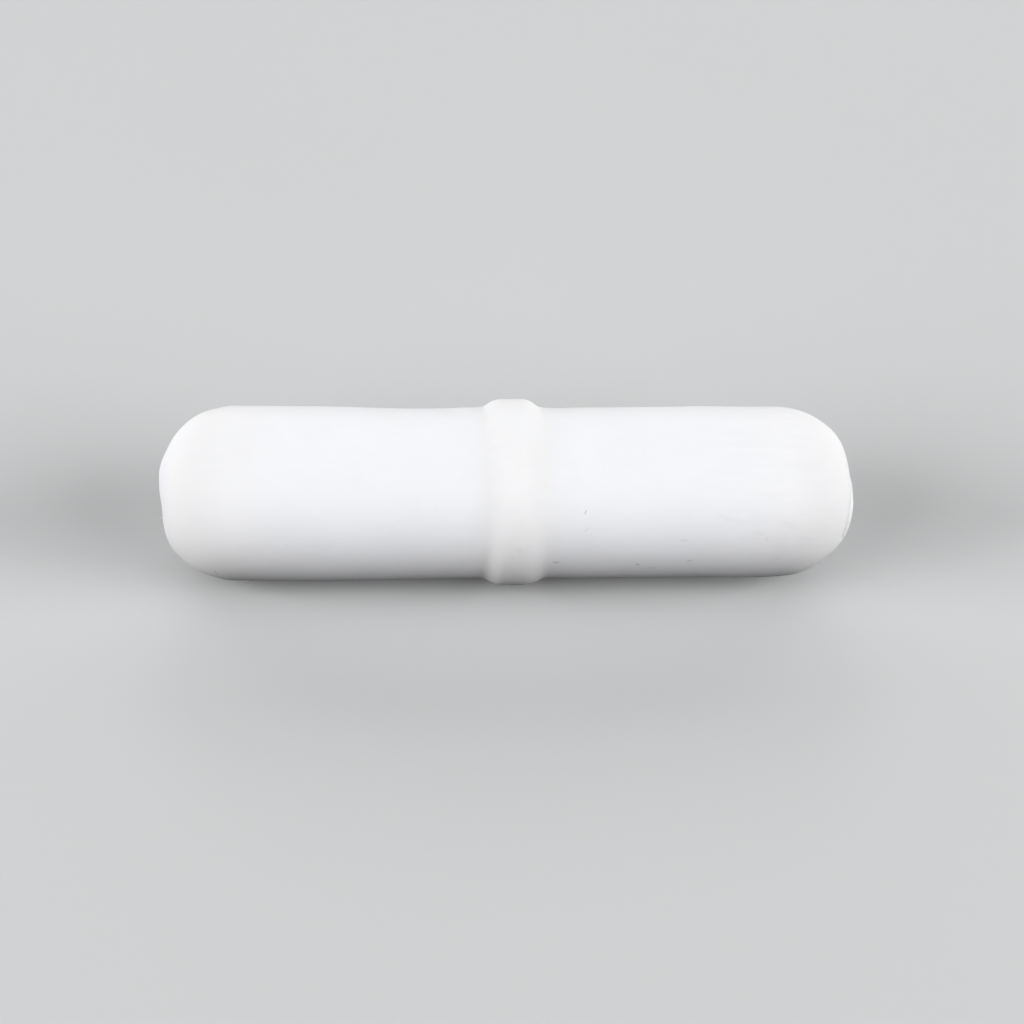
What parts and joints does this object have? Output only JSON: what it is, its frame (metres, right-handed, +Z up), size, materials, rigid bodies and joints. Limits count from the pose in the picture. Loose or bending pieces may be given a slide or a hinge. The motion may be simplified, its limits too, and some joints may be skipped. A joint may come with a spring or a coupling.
{
  "type": "magnetic stir bar",
  "caption": "Rod magnet sealed in a smooth white fluoropolymer jacket with rounded noses and a raised pivot ring, spun by a magnetic stirrer to mix a liquid.",
  "frame": {"origin": "on the bar's axis, at the middle plane of the pivot ring, which is 0.29 mm to the right of the bar's own middle", "axes": "+X along the bar's axis towards its right end, the end without the fuller diameter; +Z up, with the bar lying level"},
  "size_m": [0.0381, 0.0102, 0.0102],
  "materials": {
    "ptfe": "satin",
    "alnico": "matte"
  },
  "bodies": {
    "root": {"jacket": "ptfe", "magnet": "alnico"}
  },
  "joints": []
}
